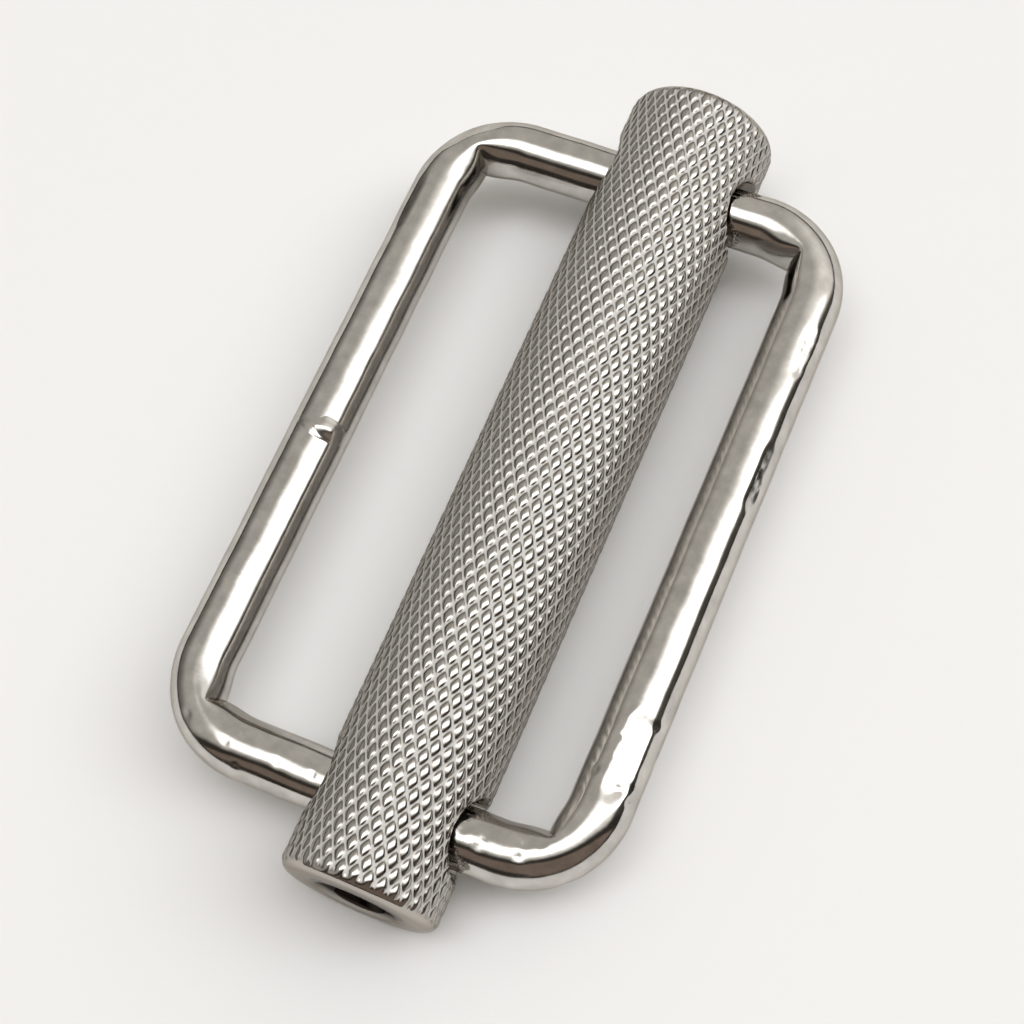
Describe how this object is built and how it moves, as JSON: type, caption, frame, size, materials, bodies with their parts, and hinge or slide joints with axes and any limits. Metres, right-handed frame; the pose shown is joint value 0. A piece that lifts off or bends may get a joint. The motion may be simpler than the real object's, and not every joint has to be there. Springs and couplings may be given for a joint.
{
  "type": "buckle slider",
  "caption": "Strap slider buckle: a closed rectangular frame of bent round wire with a knurled tube that slides along its two short rails to grip webbing.",
  "frame": {"origin": "centre of the wire frame, on its mid-plane", "axes": "+X along the rails, the way the tube slides; +Y along the tube; +Z square to the frame's plane"},
  "size_m": [0.0306, 0.0572, 0.0102],
  "materials": {
    "frame_nickel": "bright nickel plate over drawn steel wire",
    "weld_nickel": "nickel plate over a dressed butt weld, slightly rough",
    "bar_nickel": "bright nickel plate over a diamond-knurled steel tube"
  },
  "bodies": {
    "frame": {"wire_frame": "frame_nickel", "closing_weld": "weld_nickel"},
    "bar": {"slide_bar": "bar_nickel"}
  },
  "joints": [
    {"name": "bar_slide", "type": "slide", "parent": "frame", "child": "bar", "axis": [1, 0, 0], "range_m": [-0.0065, 0.0027]}
  ]
}
